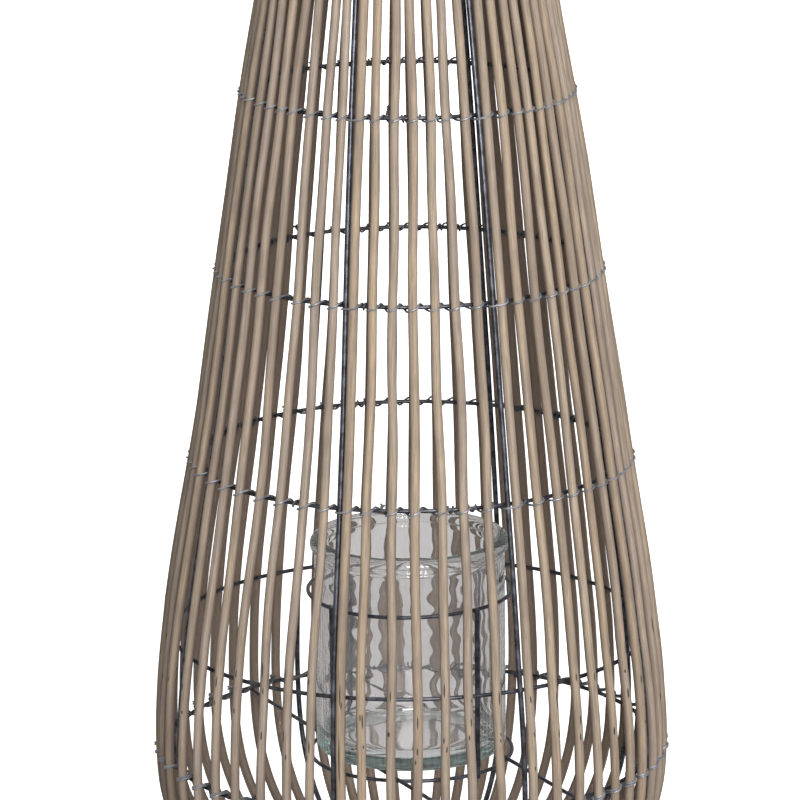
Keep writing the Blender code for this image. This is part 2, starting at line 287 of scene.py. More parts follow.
class Pile:
    """Tubes and lumps that become one mesh object, with what the materials read of each point."""

    def __init__(self):
        self.points = []
        self.faces = []
        self.grain = []
        self.tone = []
        self.wear = []
        self.splits = ([], [], [])
        self.count = 0

    def add(self, points, faces, grain, tone, wear, splits=NO_SPLITS):
        """Adds one shape. grain is a point's place in the wood or metal, tone its own tint, and the
        darkening is real dull weld on beads and painted shade on tying wire round the hoops.
        """
        self.points.append(points)
        self.faces += [tuple(corner + self.count for corner in face) for face in faces]
        self.grain.append(grain)
        self.tone.append(np.full(len(points), tone))
        self.wear.append(np.broadcast_to(wear, len(points)))
        for stored, split in zip(self.splits, splits):
            stored.append(np.broadcast_to(split, (len(points), 3)))
        self.count += len(points)

    def tube(self, path, radius, sides, closed=False, first_normal=(0.0, 0.0, 1.0), tone=0.5, wear=0.0,
             squash=0.0, phase=0.0, splits=NO_SPLITS):
        """A tube along a path. Open ends are closed with a small chamfer and a flat cap."""
        path = np.asarray(path, float)
        radius = np.broadcast_to(radius, len(path)).astype(float)
        wear = np.broadcast_to(wear, len(path)).astype(float)
        if not closed:
            chamfer = 0.22
            start = unit(path[0] - path[1]) * radius[0] * chamfer
            end = unit(path[-1] - path[-2]) * radius[-1] * chamfer
            path = np.concatenate([[path[0] + start], path, [path[-1] + end]])
            radius = np.concatenate([[radius[0] * (1 - chamfer)], radius, [radius[-1] * (1 - chamfer)]])
            wear = np.concatenate([wear[:1], wear, wear[-1:]])
        _, normals, binormals = carried_frames(path, closed, first_normal)
        angles = np.arange(sides) * 2 * math.pi / sides
        oval = 1 + squash * np.cos(2 * angles + phase)
        across = radius[:, None] * oval[None, :] * np.cos(angles)[None, :]
        along_side = radius[:, None] * oval[None, :] * np.sin(angles)[None, :]
        rings = (path[:, None, :] + across[..., None] * normals[:, None, :]
                 + along_side[..., None] * binormals[:, None, :])
        steps = np.linalg.norm(np.diff(path, axis=0), axis=1)
        length = np.concatenate([[0.0], np.cumsum(steps)]) + GRAIN_OFFSET * tone
        grain = np.stack([across, along_side, np.broadcast_to(length[:, None], across.shape)], -1)
        splits = [(along + GRAIN_OFFSET * tone, aside, half) for along, aside, half in splits]
        points = rings.reshape(-1, 3)
        grain = grain.reshape(-1, 3)
        wear = np.repeat(wear, sides)
        faces = ring_faces(len(path), sides, closed)
        if not closed:
            first = len(points)
            points = np.concatenate([points, path[:1], path[-1:]])
            grain = np.concatenate([grain, [[0, 0, grain[0, 2]], [0, 0, grain[-1, 2]]]])
            wear = np.concatenate([wear, wear[:1], wear[-1:]])
            last = (len(path) - 1) * sides
            for side in range(sides):
                beside = (side + 1) % sides
                faces.append((first, beside, side))
                faces.append((first + 1, last + side, last + beside))
        self.add(points, faces, grain, tone, wear, splits)

    def lump(self, centre, size, axis, generator):
        """A small uneven bead of metal, such as a spot of weld, long along an axis."""
        shape = bmesh.new()
        bmesh.ops.create_icosphere(shape, subdivisions=2, radius=1.0)
        points = np.array([vert.co for vert in shape.verts])
        faces = [tuple(vert.index for vert in face.verts) for face in shape.faces]
        shape.free()
        waves = generator.uniform(2.0, 4.5, (3, 3))
        shifts = generator.uniform(0.0, 6.3, 3)
        for wave, shift in zip(waves, shifts):
            points = points * (1 + 0.06 * np.sin(points @ wave + shift))[:, None]
        turn = np.array(Vector(axis).to_track_quat("Z", "Y").to_matrix())
        placed = (points * np.asarray(size)) @ turn.T + centre
        self.add(placed, faces, placed, generator.random(), 1.0)

    def build(self, name, material, body, replaced, sharp=40.0):
        """Makes the mesh object, gives it its material and rides it on its body."""
        mesh = bpy.data.meshes.new(name)
        mesh.from_pydata(np.concatenate(self.points).tolist(), [], self.faces)
        grain = mesh.attributes.new("grain", "FLOAT_VECTOR", "POINT")
        grain.data.foreach_set("vector", np.concatenate(self.grain).astype(np.float32).ravel())
        for number, values in enumerate(self.splits, start=1):
            made = mesh.attributes.new(f"split_{number}", "FLOAT_VECTOR", "POINT")
            made.data.foreach_set("vector", np.concatenate(values).astype(np.float32).ravel())
        for attribute, values in (("tone", self.tone), ("wear", self.wear)):
            made = mesh.attributes.new(attribute, "FLOAT", "POINT")
            made.data.foreach_set("value", np.concatenate(values).astype(np.float32))
        mesh.shade_smooth()
        mesh.set_sharp_from_angle(angle=math.radians(sharp))
        mesh.materials.append(material)
        piece = bpy.data.objects.new(name, mesh)
        bpy.context.scene.collection.objects.link(piece)
        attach(piece, body)
        if replaced:
            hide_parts(*replaced)
        return piece


# --- Materials ---
class Nodes:
    """A material's node tree, with short ways to add the nodes that these materials use."""

    def __init__(self, name):
        self.material = bpy.data.materials.new(name)
        self.material.use_nodes = True
        self.tree = self.material.node_tree
        self.shader = self.tree.nodes["Principled BSDF"]

    def add(self, kind, **settings):
        """A node with these properties set."""
        node = self.tree.nodes.new(kind)
        for key, value in settings.items():
            setattr(node, key, value)
        return node

    def link(self, source, target):
        """Links an output to an input."""
        self.tree.links.new(source, target)

    def attribute(self, name, output="Fac"):
        """A value that the mesh holds for each point."""
        return self.add("ShaderNodeAttribute", attribute_name=name).outputs[output]

    def stretched(self, across, along):
        """The grain coordinates scaled across and along the fibres."""
        scale = self.add("ShaderNodeVectorMath", operation="MULTIPLY")
        self.link(self.attribute("grain", "Vector"), scale.inputs[0])
        scale.inputs[1].default_value = (across, across, along)
        return scale.outputs[0]

    def noise(self, vector, scale, detail=3.0, roughness=0.5):
        """The value of a noise texture."""
        node = self.add("ShaderNodeTexNoise")
        self.link(vector, node.inputs["Vector"])
        node.inputs["Scale"].default_value = scale
        node.inputs["Detail"].default_value = detail
        node.inputs["Roughness"].default_value = roughness
        return node.outputs["Fac"]

    def spread(self, value, low, high, to_low=0.0, to_high=1.0):
        """A value's stretch from low to high, spread smoothly to another stretch."""
        node = self.add("ShaderNodeMapRange", interpolation_type="SMOOTHSTEP")
        self.link(value, node.inputs["Value"])
        for name, number in (("From Min", low), ("From Max", high), ("To Min", to_low), ("To Max", to_high)):
            node.inputs[name].default_value = number
        return node.outputs["Result"]

    def maths(self, operation, first, second):
        """Arithmetic on an output and another output or a number."""
        node = self.add("ShaderNodeMath", operation=operation)
        for slot, value in zip(node.inputs, (first, second)):
            if isinstance(value, (int, float)):
                slot.default_value = value
            else:
                self.link(value, slot)
        return node.outputs[0]

    def mix(self, factor, first, second, blend="MIX"):
        """Two colours mixed; each is a colour output or three numbers."""
        node = self.add("ShaderNodeMix", data_type="RGBA", blend_type=blend)
        if isinstance(factor, (int, float)):
            node.inputs["Factor"].default_value = factor
        else:
            self.link(factor, node.inputs["Factor"])
        for slot, value in ((node.inputs[6], first), (node.inputs[7], second)):
            if isinstance(value, tuple):
                slot.default_value = (*value, 1.0)
            else:
                self.link(value, slot)
        return node.outputs[2]

    def bump(self, height, strength, distance):
        """A bump of this height, in metres, on the shader's normal."""
        node = self.add("ShaderNodeBump")
        node.inputs["Strength"].default_value = strength
        node.inputs["Distance"].default_value = distance
        self.link(height, node.inputs["Height"])
        self.link(node.outputs["Normal"], self.shader.inputs["Normal"])


def cane_material():
    """Peeled willow: grey tan, streaked along the grain, with short dark splits where it bends, and painted
    shade on the sides and inner face of each cane.
    """
    nodes = Nodes("peeled_cane")
    fibres = nodes.noise(nodes.stretched(1.0, 0.035), 1500.0, detail=4.0, roughness=0.65)
    streaks = nodes.noise(nodes.stretched(1.0, 0.02), 420.0, detail=3.0)
    blotches = nodes.noise(nodes.stretched(0.7, 0.16), 150.0, detail=5.0, roughness=0.68)
    stains = nodes.noise(nodes.stretched(0.4, 0.30), 42.0, detail=4.0, roughness=0.65)
    tone = nodes.attribute("tone")
    base = nodes.mix(nodes.spread(tone, 0.15, 0.50), (0.322, 0.262, 0.214), (0.350, 0.279, 0.211))
    base = nodes.mix(nodes.spread(tone, 0.55, 0.95), base, (0.362, 0.276, 0.192))
    shade = nodes.maths("FRACT", nodes.maths("MULTIPLY", tone, 7.0), 0.0)
    # What is laid over the base, from where to where it grows, its most and its colour.
    for over, low, high, most, colour in (
        (shade, 0.0, 1.0, 0.34, (0.195, 0.150, 0.112)),
        (blotches, 0.48, 0.64, 0.60, (0.400, 0.312, 0.215)),
        (stains, 0.47, 0.64, 0.60, (0.215, 0.172, 0.138)),
        (streaks, 0.50, 0.66, 0.55, (0.180, 0.138, 0.105)),
        (fibres, 0.42, 0.68, 0.62, (0.150, 0.112, 0.085)),
    ):
        base = nodes.mix(nodes.spread(over, low, high, 0.0, most), base, colour)

    # Painted shade: the sides and the inner face of each cane are darkened towards a dark brown, and the
    # face towards the outside keeps its colour.
    sides = nodes.add("ShaderNodeSeparateXYZ")
    nodes.link(nodes.attribute("grain", "Vector"), sides.inputs[0])
    inner = nodes.spread(sides.outputs["X"], -0.0014, 0.0019, 0.88, 0.0)
    base = nodes.mix(inner, base, (0.172, 0.128, 0.098))

    ragged = nodes.maths("MULTIPLY", nodes.maths("SUBTRACT", fibres, 0.5), 1.6)
    split = 0.0
    for number in (1, 2, 3):
        centre = nodes.add("ShaderNodeSeparateXYZ")
        nodes.link(nodes.attribute(f"split_{number}", "Vector"), centre.inputs[0])
        along = nodes.maths("SUBTRACT", sides.outputs["Z"], centre.outputs["X"])
        along = nodes.maths("DIVIDE", along, centre.outputs["Z"])
        aside = nodes.maths("SUBTRACT", sides.outputs["Y"], centre.outputs["Y"])
        aside = nodes.maths("DIVIDE", aside, SPLIT_HALF_WIDTH)
        reach = nodes.maths("ADD", nodes.maths("POWER", along, 2.0), nodes.maths("POWER", aside, 2.0))
        outside = nodes.spread(nodes.maths("ADD", reach, ragged), 0.5, 1.2)
        split = nodes.maths("MAXIMUM", split, nodes.maths("SUBTRACT", 1.0, outside))
    split = nodes.maths("MULTIPLY", split, nodes.maths("GREATER_THAN", sides.outputs["X"], 0.0))
    nodes.link(nodes.mix(split, base, (0.030, 0.022, 0.018)), nodes.shader.inputs["Base Color"])

    rough = nodes.spread(fibres, 0.2, 0.8, 0.50, 0.72)
    nodes.link(rough, nodes.shader.inputs["Roughness"])
    nodes.shader.inputs["Specular IOR Level"].default_value = 0.30
    height = nodes.maths("SUBTRACT", fibres, nodes.maths("MULTIPLY", split, 3.0))
    nodes.bump(height, 0.55, 0.00012)
    return nodes.material


def wire_material(name, dark, light, metallic, rough_low, rough_high):
    """Drawn wire: fine scratches along it, uneven lacquer, duller spots of weld, and painted shade where a
    tying wire winds round a hoop.
    """
    nodes = Nodes(name)
    scratches = nodes.noise(nodes.stretched(1.0, 0.05), 1600.0, detail=3.0)
    patches = nodes.noise(nodes.stretched(1.0, 1.0), 140.0, detail=4.0, roughness=0.6)
    colour = nodes.mix(nodes.spread(patches, 0.40, 0.66), dark, light)
    worn = nodes.mix(nodes.spread(scratches, 0.55, 0.75, 0.0, 0.35), colour, light)
    # Darker by each point's darkening value: real dull weld on the beads, and painted shade on the tying
    # wire round the hoops and on its pigtails.
    weld = nodes.maths("MULTIPLY", nodes.attribute("wear"), 0.8)
    nodes.link(nodes.mix(weld, worn, (0.030, 0.027, 0.026)), nodes.shader.inputs["Base Color"])
    nodes.link(nodes.spread(patches, 0.3, 0.7, rough_low, rough_high), nodes.shader.inputs["Roughness"])
    nodes.shader.inputs["Metallic"].default_value = metallic
    nodes.bump(nodes.maths("ADD", scratches, patches), 0.35, 0.00008)
    return nodes.material


def glass_material():
    """Thick clear pressed glass, teal grey where it is seen edge on."""
    nodes = Nodes("pressed_glass")
    place = nodes.add("ShaderNodeTexCoord").outputs["Object"]
    seeds = nodes.noise(place, 120.0, detail=2.0)
    tint = nodes.mix(nodes.spread(seeds, 0.35, 0.7), (0.925, 0.905, 0.905), (0.955, 0.940, 0.940))
    nodes.link(tint, nodes.shader.inputs["Base Color"])
    nodes.shader.inputs["Roughness"].default_value = 0.0
    nodes.shader.inputs["IOR"].default_value = 1.48
    nodes.shader.inputs["Transmission Weight"].default_value = 0.98
    nodes.bump(seeds, 0.035, 0.0005)
    absorbed = nodes.add("ShaderNodeVolumeAbsorption")
    absorbed.inputs["Color"].default_value = (0.43, 0.58, 0.55, 1.0)
    absorbed.inputs["Density"].default_value = 21.0
    nodes.link(absorbed.outputs["Volume"], nodes.tree.nodes["Material Output"].inputs["Volume"])
    return nodes.material


# --- Where the canes and uprights run ---
def upright_azimuth(panel, height):
    """Azimuth of the upright that a panel starts with, or of the next one after the last panel."""
    turns, index = divmod(panel, len(PANELS))
    azimuth, lean, _ = PANELS[index]
    return np.radians(360.0 * turns + azimuth + lean * (height - LEAN_HEIGHT))


def panel_azimuths(panel, height):
    """Azimuths of one panel's canes at a height, kept clear of each other and of the uprights."""
    line = line_radius(height)
    beside_upright = (CANE_RADIUS + UPRIGHT_RADIUS + CLEARANCE) / line
    apart = (2 * CANE_RADIUS + CLEARANCE) / line
    azimuths = []
    least = upright_azimuth(panel, height) + beside_upright
    for degrees in PANELS[panel][2]:
        azimuths.append(np.maximum(math.radians(degrees), least))
        least = azimuths[-1] + apart
    most = upright_azimuth(panel + 1, height) - beside_upright
    for column in reversed(range(len(azimuths))):
        azimuths[column] = np.minimum(azimuths[column], most)
        most = azimuths[column] - apart
    return azimuths


class Cane:
    """One cane: its place in its panel, the small bends that make it a real one, and its splits."""

    def __init__(self, panel, column, generator):
        self.panel = panel
        self.column = column
        self.tone = generator.random()
        self.waves = [
            (generator.uniform(0.55, 0.75), generator.uniform(0.26, 0.42), generator.uniform(0.0, 6.3)),
            (generator.uniform(0.25, 0.45), generator.uniform(0.10, 0.17), generator.uniform(0.0, 6.3)),
        ]
        self.push = (generator.uniform(0.12, 0.17), generator.uniform(0.0, 6.3))
        self.swell = [(generator.uniform(0.02, 0.66), generator.uniform(0.00006, 0.00014)) for _ in range(4)]
        self.thickness = generator.uniform(0.965, 1.025)
        self.squash = generator.uniform(0.0, 0.035)
        self.phase = generator.uniform(0.0, 6.3)
        self.top_trim = generator.uniform(0.0, 0.0012)
        # Height, place across and half length of each split.
        self.splits = [
            (generator.uniform(*heights), generator.uniform(-across, across), generator.uniform(*halves))
            for heights, across, halves in SPLIT_RANGES
        ]

    def radius(self, height):
        """The cane's own radius at a height: thicker at its foot, with faint joints."""
        own = CANE_RADIUS * self.thickness * (1.015 - 0.06 * height / LINE_HEIGHTS[-1])
        for centre, size in self.swell:
            own = own + size * np.exp(-((height - centre) / 0.003) ** 2)
        return own

    def place(self, height):
        """Radius and azimuth of the cane's centre at a height."""
        line = line_radius(height)
        azimuths = panel_azimuths(self.panel, height)
        own = azimuths[self.column]
        inset = (CANE_RADIUS - UPRIGHT_RADIUS) / line
        before = upright_azimuth(self.panel, height) - inset
        after = upright_azimuth(self.panel + 1, height) + inset
        if self.column > 0:
            before = azimuths[self.column - 1]
        if self.column < len(azimuths) - 1:
            after = azimuths[self.column + 1]
        room = np.minimum(own - before, after - own) * line - 2 * CANE_RADIUS
        most = FRONT_SWAY if self.panel < FRONT_PANELS else BACK_SWAY
        reach = np.clip(0.30 * room, 0.0, most)
        sway = sum(share * np.sin(2 * math.pi * height / length + shift)
                   for share, length, shift in self.waves)
        length, shift = self.push
        bulge = 0.00022 * np.sin(2 * math.pi * height / length + shift)
        ease = np.clip((height - SWAY_START) / SWAY_EASE, 0.0, 1.0)
        return line + bulge * ease, own + reach * sway * ease / line


def make_cane_list():
    """All canes in order round the lantern."""
    generator = np.random.default_rng(SEED)
    canes = [Cane(panel, column, generator)
             for panel, (_, _, azimuths) in enumerate(PANELS) for column in range(len(azimuths))]
    front = next(cane for cane in canes if cane.panel == 1 and cane.column == 0)
    front.splits[:2] = FRONT_SPLITS
    return canes


def upright_line_radius(height):
    """Radius of the uprights' centre line, just outside the hoops."""
    return line_radius(height) - CANE_RADIUS + UPRIGHT_RADIUS


def hoop_radius(height):
    """Radius of a hoop that lies inside the canes."""
    return line_radius(height) - CANE_RADIUS - HOOP_WIRE - CLEARANCE


def node_height(node):
    """Height of the middle of a level CAD node."""
    low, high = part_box(node)
    return (low.z + high.z) / 2


# --- Canes ---
def make_canes(canes, material):
    """One piece for each panel of real canes."""
    heights = even_heights(CANE_RINGS)
    for panel in range(len(PANELS)):
        pile = Pile()
        for cane in canes:
            if cane.panel != panel:
                continue
            own = np.unique(np.minimum(heights, LINE_HEIGHTS[-1] - cane.top_trim))
            radius, azimuth = cane.place(own)
            path = cage_point(radius, azimuth, own)
            steps = np.linalg.norm(np.diff(path, axis=0), axis=1)
            length = np.concatenate([[0.0], np.cumsum(steps)])
            splits = [(np.interp(height, own, length), across, half) for height, across, half in cane.splits]
            pile.tube(path, cane.radius(own), CANE_SIDES, first_normal=polar(1.0, azimuth[0], 0.0),
                      tone=cane.tone, squash=cane.squash, phase=cane.phase, splits=splits)
        nodes = [f"canes_{panel + 1}_{group}" for group in "abc"]
        pile.build(f"real_canes_{panel + 1}", material, "lantern", nodes)


# --- Wire frame ---
def make_wire(name, node, path, radius, material, tone, **shape):
    """One wire of the lantern's frame as a piece that replaces its CAD node."""
    pile = Pile()
    pile.tube(path, radius, WIRE_SIDES, tone=tone, **shape)
    pile.build(name, material, "lantern", [node])


def make_uprights(material):
    """The eight uprights, from the foot ring to the mouth."""
    heights = even_heights(CANE_RINGS)[:-1]
    for panel in range(len(PANELS)):
        azimuth = upright_azimuth(panel, heights)
        path = cage_point(upright_line_radius(heights), azimuth, heights)
        node = f"upright_{panel + 1}"
        make_wire(f"frame_{node}", node, path, UPRIGHT_RADIUS, material, panel / 8,
                  first_normal=polar(1.0, azimuth[0], 0.0))


def hoop_path(radius, height, centre_x, wave=0.00012, shift=0.0):
    """A hoop that isn't quite level all the way round."""
    azimuth = np.arange(HOOP_STEPS) * 2 * math.pi / HOOP_STEPS
    path = polar(radius, azimuth, height + wave * np.sin(3 * azimuth + shift))
    return path + np.array([centre_x, 0.0, 0.0])


def make_hoops(material):
    """The wire hoops inside the canes."""
    for index, row in enumerate((*TIED_ROWS, "belly")):
        node = f"{row}_hoop"
        height = node_height(node)
        path = hoop_path(hoop_radius(height), height, cage_centre_x(height), shift=index)
        make_wire(f"frame_{node}", node, path, HOOP_WIRE, material, index / 7, closed=True)


def make_foot_ring(material):
    """The flat foot ring, with its edges eased."""
    low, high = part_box("foot_ring")
    outer, thickness = (high.x - low.x) / 2, high.z
    inner = outer - 0.012
    ease = 0.0005
    section = [
        (outer, thickness - ease), (outer, ease), (outer - ease, 0.0), (inner + ease, 0.0),
        (inner, ease), (inner, thickness - ease), (inner + ease, thickness), (outer - ease, thickness),
    ]
    azimuths = np.arange(HOOP_STEPS) * 2 * math.pi / HOOP_STEPS
    points = np.concatenate([polar(radius, azimuths, height) for radius, height in section])
    faces = []
    for row in range(len(section)):
        under = (row + 1) % len(section)
        for step in range(HOOP_STEPS):
            after = (step + 1) % HOOP_STEPS
            faces.append((row * HOOP_STEPS + step, under * HOOP_STEPS + step,
                          under * HOOP_STEPS + after, row * HOOP_STEPS + after))
    pile = Pile()
    pile.add(points, faces, points, 0.4, 0.0)
    pile.build("frame_foot_ring", material, "lantern", ["foot_ring"], sharp=50.0)


def holder_centre():
    """The X of the glass holder's axis."""
    low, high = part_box("holder_upper_hoop")
    return (low.x + high.x) / 2


def make_holder(material):
    """The wire basket for the pot and its two cross wires."""
    centre_x = holder_centre()
    for index, node in enumerate(("holder_upper_hoop", "holder_lower_hoop")):
        low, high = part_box(node)
        radius = (high.y - low.y) / 2 - HOLDER_WIRE
        path = hoop_path(radius, node_height(node), centre_x, wave=0.0003, shift=2.0 * index)
        make_wire(f"wire_{node}", node, path, HOLDER_WIRE, material, 0.3 + 0.3 * index, closed=True)

    outside = HOLDER_WIRE + UPRIGHT_RADIUS + CLEARANCE
    ends = {}
    for node in ("holder_lower_hoop", "holder_upper_hoop"):
        low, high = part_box(node)
        ends[node] = (high.y - low.y) / 2 - HOLDER_WIRE + outside
    for number, azimuth in enumerate(POST_AZIMUTHS, start=1):
        node = f"holder_post_{number}"
        low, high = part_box(node)
        heights = np.linspace(low.z, high.z, 24)
        radii = np.interp(heights, (low.z, high.z), (ends["holder_lower_hoop"], ends["holder_upper_hoop"]))
        path = polar(radii, math.radians(azimuth), heights) + np.array([centre_x, 0.0, 0.0])
        make_wire(f"wire_{node}", node, path, UPRIGHT_RADIUS, material, 0.2 * number,
                  first_normal=(1.0, 0.0, 0.0))

    for number in (1, 2):
        low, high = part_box(f"cross_wire_{number}")
        height = (low.z + high.z) / 2
        start = np.array([low.x, high.y, height])
        end = np.array([high.x, low.y, height])
        trim = unit(end - start) * HOLDER_WIRE
        share = np.linspace(0.0, 1.0, 60)[:, None]
        path = (start + trim) * (1 - share) + (end - trim) * share
        make_wire(f"wire_cross_{number}", f"cross_wire_{number}", path, HOLDER_WIRE, material, 0.4 * number)


def make_welds(material):
    """Spots of weld where the uprights meet the hoops and the holder's wires meet each other."""
    generator = np.random.default_rng(SEED + 1)
    pile = Pile()
    bead = np.array([0.0013, 0.0012, 0.0020])
    for row in (*TIED_ROWS, "belly"):
        height = node_height(f"{row}_hoop")
        radius = (hoop_radius(height) + upright_line_radius(height)) / 2
        for panel in range(len(PANELS)):
            centre = cage_point(radius, upright_azimuth(panel, height), height)
            size = bead * generator.uniform(0.9, 1.25, 3)
            pile.lump(centre, size, (0.0, 0.0, 1.0), generator)
    centre_x = holder_centre()
    for node in ("holder_lower_hoop", "holder_upper_hoop"):
        low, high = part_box(node)
        radius = (high.y - low.y) / 2 + 0.0003
        for azimuth in POST_AZIMUTHS:
            centre = polar(radius, math.radians(azimuth), node_height(node)) + np.array([centre_x, 0, 0])
            pile.lump(centre, bead * generator.uniform(0.85, 1.15, 3), (0.0, 0.0, 1.0), generator)
    pile.build("weld_beads", material, "lantern", [], sharp=80.0)


# --- Tying wire ---
def over_cane(radius, azimuth, cane_radius, height, rise, first_angle=WRAP_ANGLES[0], slant=1.0):
    """Points of the tying wire across the outside of a cane, from low left to high right."""
    reach = cane_radius + TYING_WIRE
    points = []
    for angle in WRAP_ANGLES:
        if angle < first_angle:
            continue
        turn = math.radians(angle)
        out = radius + slant * reach * math.cos(turn)
        aside = reach * math.sin(turn) / out
        points.append(cage_point(out, azimuth + aside, height + rise * angle / WRAP_ANGLES[-1]))
    return points


def round_hoop(hoop, height, start, end, turns):
    """Points of the tying wire winding back over the hoop between two canes."""
    reach = HOOP_WIRE + TYING_WIRE
    total = 180.0 + 360.0 * turns
    count = 4 + 8 * turns
    points = []
    for step in range(count + 1):
        share = step / count
        turn = math.radians(90.0 + total * share)
        azimuth = start + (end - start) * share
        points.append(cage_point(hoop + reach * math.cos(turn), azimuth, height + reach * math.sin(turn)))
    return points


def tail(pile, start, direction, length):
    """A twisted pigtail of two wire ends, splayed at its tip."""
    direction = unit(np.asarray(direction, float))
    side = unit(np.cross(direction, (0.13, 0.31, 0.94)))
    other = np.cross(direction, side)
    for strand in (0.0, math.pi):
        points = []
        for step in range(13):
            share = step / 12
            turn = 2 * math.pi * share * length / 0.0028 + strand
            splay = 0.00042 + 0.0016 * max(0.0, share - 0.72) * (1 + strand / 3)
            points.append(start + direction * length * share
                          + splay * (side * math.cos(turn) + other * math.sin(turn)))
        # The pigtails are darkened with the same painted shade as the wire round the hoop.
        pile.tube(smooth_through(points, False, 2), TYING_WIRE, TYING_SIDES, tone=0.5, wear=0.85)


def wind_row(pile, spots, height, hoop, generator, joined):
    """Winds one tying wire all round: over each cane, back round the hoop, and on to the next."""
    points = []
    wear = []
    tails = []
    for number, (radius, azimuth, thick, _, upright, bundled) in enumerate(spots):
        rise = generator.uniform(0.0011, 0.0018)
        if bundled:
            out = upright_line_radius(height)
            wrap = UPRIGHT_RADIUS + TYING_WIRE
            for angle, drop in ((-80.0, 1.0), (-20.0, 0.7)):
                turn = math.radians(angle)
                distance = out + wrap * math.cos(turn)
                points.append(cage_point(distance, upright + wrap * math.sin(turn) / distance,
                                         height - rise * drop))
        first_angle = -30.0 if bundled else WRAP_ANGLES[0]
        points += over_cane(radius, azimuth, thick, height, rise, first_angle)
        wear += [0.0] * (len(points) - len(wear))
        next_left = spots[(number + 1) % len(spots)][3]
        if number == len(spots) - 1:
            next_left += 2 * math.pi
        right = azimuth + (thick + TYING_WIRE) / radius
        gap = (next_left - right) * radius
        turns = 1 if gap > LOOP_GAP and generator.random() < LOOP_CHANCE else 0
        margin = min(0.0006, 0.2 * gap) / radius
        points += round_hoop(hoop, height, right + margin, next_left - margin, turns)
        # Painted shade: the wire that winds round the hoop between canes is darkened.
        wear += [0.85] * (len(points) - len(wear))
        joint = joined and right <= JOINT_AZIMUTH < next_left + 0.04
        if joint or generator.random() < TAIL_CHANCE:
            start = cage_point(hoop, (right + next_left) / 2, height)
            for lean in (-0.5, 0.6) if joint else (0.3,):
                aim = (lean + generator.uniform(-0.2, 0.2), generator.uniform(-0.5, 0.2), 1.0)
                tails.append((start, aim, generator.uniform(0.004, 0.008)))
    jitter = generator.normal(0.0, 0.00006, (len(points), 3))
    path = smooth_through(np.array(points) + jitter, True, 3)
    pile.tube(path, TYING_WIRE, TYING_SIDES, closed=True, tone=generator.random(), wear=np.repeat(wear, 3))
    for start, aim, length in tails:
        tail(pile, start, aim, length)


def make_tied_row(row, canes, material, index):
    """The tying wire of one row; the widest row is tied twice."""
    generator = np.random.default_rng(SEED + 10 + index)
    height = node_height(f"{row}_hoop")
    hoop = hoop_radius(height)
    spots = []
    for cane in canes:
        radius, azimuth = cane.place(height)
        thick = cane.radius(height)
        left = azimuth - (thick + TYING_WIRE) / radius
        upright = upright_azimuth(cane.panel, height)
        # An upright that stands close before a cane is tied in with it.
        bundled = cane.column == 0 and (left - upright) * radius < UPRIGHT_RADIUS + 0.0008
        if bundled:
            left = upright - (UPRIGHT_RADIUS + TYING_WIRE) / radius
        spots.append((radius, azimuth, thick, left, upright, bundled))
    pile = Pile()
    for strand in range(WIDEST_STRANDS if row == "widest" else 1):
        wind_row(pile, spots, height + STRAND_STEP * strand, hoop, generator, joined=strand == 0)
    pile.build(f"tying_wire_{row}", material, "lantern", [f"{row}_binding"])


def make_foot_lashing(canes, material):
    """The tying wire that weaves over the canes' feet, just above the foot ring."""
    generator = np.random.default_rng(SEED + 30)
    height = node_height("foot_binding")
    step = 0.002
    lean = (line_radius(height + step) - line_radius(height - step)) / (2 * step)
    slant = math.hypot(1.0, lean)
    points = []
    spots = [(*cane.place(height), cane.radius(height)) for cane in canes]
    spots.append((spots[0][0], spots[0][1] + 2 * math.pi, spots[0][2]))
    for (radius, azimuth, thick), (_, after, _) in zip(spots, spots[1:]):
        points += over_cane(radius, azimuth, thick, height, generator.uniform(0.0002, 0.0006), slant=slant)
        points.append(cage_point(radius - 0.0016, (azimuth + after) / 2, height))
    pile = Pile()
    pile.tube(smooth_through(points, True, 3), TYING_WIRE, TYING_SIDES, closed=True, tone=0.3)
    pile.build("tying_wire_foot", material, "lantern", ["foot_binding"])


# --- Glass pot ---
def arc(centre, radius, start, end, steps):
    """Points on an arc in a section, with both ends."""
    turns = np.radians(np.linspace(start, end, steps + 1))
    return [(centre[0] + radius * math.cos(t), centre[1] + radius * math.sin(t)) for t in turns]


def glass_section(low, high, rim):
    """Radius and height of the pot's section, from the middle of its floor round to its underside."""
    body = rim - GLASS_INSET
    inner = body - GLASS_WALL
    floor = low + GLASS_FLOOR
    corner_top = floor + GLASS_INNER_CORNER
    section = [(0.0, floor), (0.020, floor), (0.034, floor + 0.0003)]
    section += arc((inner - GLASS_INNER_CORNER, corner_top), GLASS_INNER_CORNER, -90.0, 0.0, 10)
    inner_heights = np.linspace(corner_top, high - 2.2 * GLASS_LIP, GLASS_RINGS)[1:]
    section += [(inner, height) for height in inner_heights]
    section += arc((rim - GLASS_LIP, high - GLASS_LIP), GLASS_LIP, 150.0, -70.0, 14)
    outer_heights = np.linspace(high - 2.6 * GLASS_LIP, low + GLASS_CORNER, GLASS_RINGS)
    section += [(body, height) for height in outer_heights]
    section += arc((body - GLASS_CORNER, low + GLASS_CORNER), GLASS_CORNER, 0.0, -90.0, 8)[1:]
    # The underside is pushed up a little in the middle.
    section += [(0.046, low), (0.043, low + 0.0009), (0.030, low + 0.0014), (0.012, low + 0.0016),
                (0.0, low + 0.0016)]
    return section


def glass_wave(azimuth, level):
    """Waves of the pressed wall round the pot at one height."""
    wobble = 0.40 * np.sin(11.5 * level + 2 * azimuth) + 0.25 * np.sin(7.3 * level - 3 * azimuth)
    wave = (np.sin(9 * azimuth + 0.9 * math.sin(level * 0.5) + wobble)
            + 0.8 * np.sin(14 * azimuth + level * 0.35 - wobble)
            + 0.7 * np.sin(5 * azimuth - level * 0.6 + 1.0) + 0.2 * np.sin(23 * azimuth + level * 0.9))
    uneven = 0.62 + 0.38 * np.cos(2 * azimuth)
    return wave * uneven


